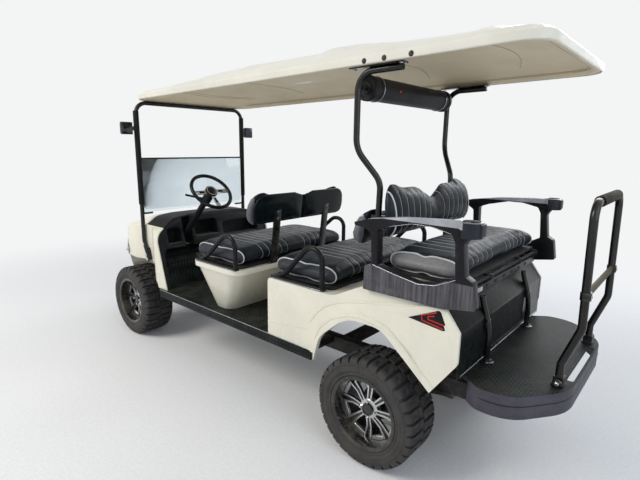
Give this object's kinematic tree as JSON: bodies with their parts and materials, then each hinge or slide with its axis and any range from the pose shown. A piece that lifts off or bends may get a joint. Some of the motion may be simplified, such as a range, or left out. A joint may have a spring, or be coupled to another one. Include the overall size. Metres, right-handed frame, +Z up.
{
  "type": "golf cart",
  "caption": "Lifted golf cart with bench seats, a rear-facing flip-over seat, long roof, steerable front wheels and a rear standing plate with a grab bar.",
  "frame": {"origin": "on the ground, under the middle of the cart's length and width", "axes": "+X to the nose, +Y to the driver's side, +Z up"},
  "size_m": [3.7877, 1.328, 2.1309],
  "materials": {
    "tyre": "grooved rubber",
    "rim": "gloss black with machined spokes",
    "steel_black": "satin black",
    "gloss_tube": "gloss black",
    "axle_steel": "bare casting",
    "tread_plate": "tread pattern",
    "cream_panel": "gloss moulded",
    "black_plastic": "fine grain",
    "gloss_black_plastic": "semi gloss",
    "lamp_red": "clear tinted",
    "lamp_clear": "clear",
    "glass": "clear acrylic",
    "mirror_head": "semi gloss",
    "roof_cream": "semi gloss",
    "roof_lining": "matt",
    "seat_leather": "stitched vinyl",
    "foam": "matt foam",
    "grey_plastic": "grained",
    "battery": "matt",
    "board": "sealed board"
  },
  "bodies": {
    "chassis": {"armrest_left": "grey_plastic", "armrest_right": "grey_plastic", "battery_pack": "battery", "chassis_frame": "steel_black", "dashboard": "black_plastic", "floor_pan": "black_plastic", "foot_plate": "tread_plate", "front_axle": "axle_steel", "front_back_frame": "gloss_black_plastic", "front_backrest": "seat_leather", "front_bumper": "steel_black", "front_cowl": "cream_panel", "front_pod": "cream_panel", "front_strut": "steel_black", "grab_bar": "gloss_tube", "grab_grip": "foam", "headlamps": "lamp_clear", "hip_rails_front": "gloss_black_plastic", "hip_rails_mid": "gloss_black_plastic", "mid_backrest": "seat_leather", "pedals": "steel_black", "plate_posts": "steel_black", "rear_axle": "axle_steel", "rear_backrest": "seat_leather", "rear_body": "cream_panel", "rear_fascia": "black_plastic", "rear_seat_frame": "steel_black", "rear_strut": "steel_black", "roof_canopy": "roof_cream", "roof_liner": "roof_lining", "side_mirrors": "mirror_head", "sill_boards": "tread_plate", "sound_bar": "black_plastic", "steering_column": "black_plastic", "tail_lamps": "lamp_red", "windshield_lower": "glass", "windshield_trim": "black_plastic", "windshield_upper": "glass"},
    "wheel_front_left": {"tyre_front_left": "tyre", "rim_front_left": "rim"},
    "wheel_front_right": {"tyre_front_right": "tyre", "rim_front_right": "rim"},
    "wheel_rear_left": {"tyre_rear_left": "tyre", "rim_rear_left": "rim"},
    "wheel_rear_right": {"tyre_rear_right": "tyre", "rim_rear_right": "rim"},
    "knuckle_left": {"knuckle_left": "axle_steel"},
    "knuckle_right": {"knuckle_right": "axle_steel"},
    "tie_rod": {"tie_rod": "axle_steel"},
    "steering_wheel": {"steering_wheel": "black_plastic"},
    "rear_seat": {"flip_deck": "tread_plate", "rear_cushion": "seat_leather"},
    "front_seat": {"front_seat_tray": "board", "front_cushion": "seat_leather"},
    "mid_seat": {"mid_seat_tray": "board", "mid_cushion": "seat_leather"}
  },
  "joints": [
    {"name": "steer_left", "type": "hinge", "parent": "chassis", "child": "knuckle_left", "pos_m": [1.43, 0.395, 0.292], "axis": [0, 0, 1], "range_deg": [-28, 28]},
    {"name": "steer_right", "type": "hinge", "parent": "chassis", "child": "knuckle_right", "pos_m": [1.43, -0.395, 0.292], "axis": [0, 0, 1], "range_deg": [-28, 28]},
    {"name": "tie_rod_turn", "type": "hinge", "parent": "knuckle_left", "child": "tie_rod", "pos_m": [1.315, 0.395, 0.26], "axis": [0, 0, 1], "range_deg": [-28, 28]},
    {"name": "steering_wheel_turn", "type": "hinge", "parent": "chassis", "child": "steering_wheel", "pos_m": [0.69, 0.28, 1.262], "axis": [-0.7071, 0, 0.7071], "range_deg": [-392, 392]},
    {"name": "wheel_spin_front_left", "type": "hinge", "parent": "knuckle_left", "child": "wheel_front_left", "pos_m": [1.43, 0.505, 0.292], "axis": [0, 1, 0], "continuous": true},
    {"name": "wheel_spin_front_right", "type": "hinge", "parent": "knuckle_right", "child": "wheel_front_right", "pos_m": [1.43, -0.505, 0.292], "axis": [0, 1, 0], "continuous": true},
    {"name": "wheel_spin_rear_left", "type": "hinge", "parent": "chassis", "child": "wheel_rear_left", "pos_m": [-1.03, 0.538, 0.292], "axis": [0, 1, 0], "continuous": true},
    {"name": "wheel_spin_rear_right", "type": "hinge", "parent": "chassis", "child": "wheel_rear_right", "pos_m": [-1.03, -0.538, 0.292], "axis": [0, 1, 0], "continuous": true},
    {"name": "rear_seat_flip", "type": "hinge", "parent": "chassis", "child": "rear_seat", "pos_m": [-1.452, 0, 1.008], "axis": [0, -1, 0], "range_deg": [0, 180]},
    {"name": "front_seat_lift", "type": "hinge", "parent": "chassis", "child": "front_seat", "pos_m": [0.553, 0, 0.8193], "axis": [0, 1, 0], "range_deg": [0, 65]},
    {"name": "mid_seat_lift", "type": "hinge", "parent": "chassis", "child": "mid_seat", "pos_m": [-0.266, 0, 0.8493], "axis": [0, 1, 0], "range_deg": [0, 65]}
  ],
  "couplings": [
    {"joint": "steer_right", "follows": "steer_left", "ratio": 1},
    {"joint": "tie_rod_turn", "follows": "steer_left", "ratio": -1},
    {"joint": "steering_wheel_turn", "follows": "steer_left", "ratio": 14}
  ]
}
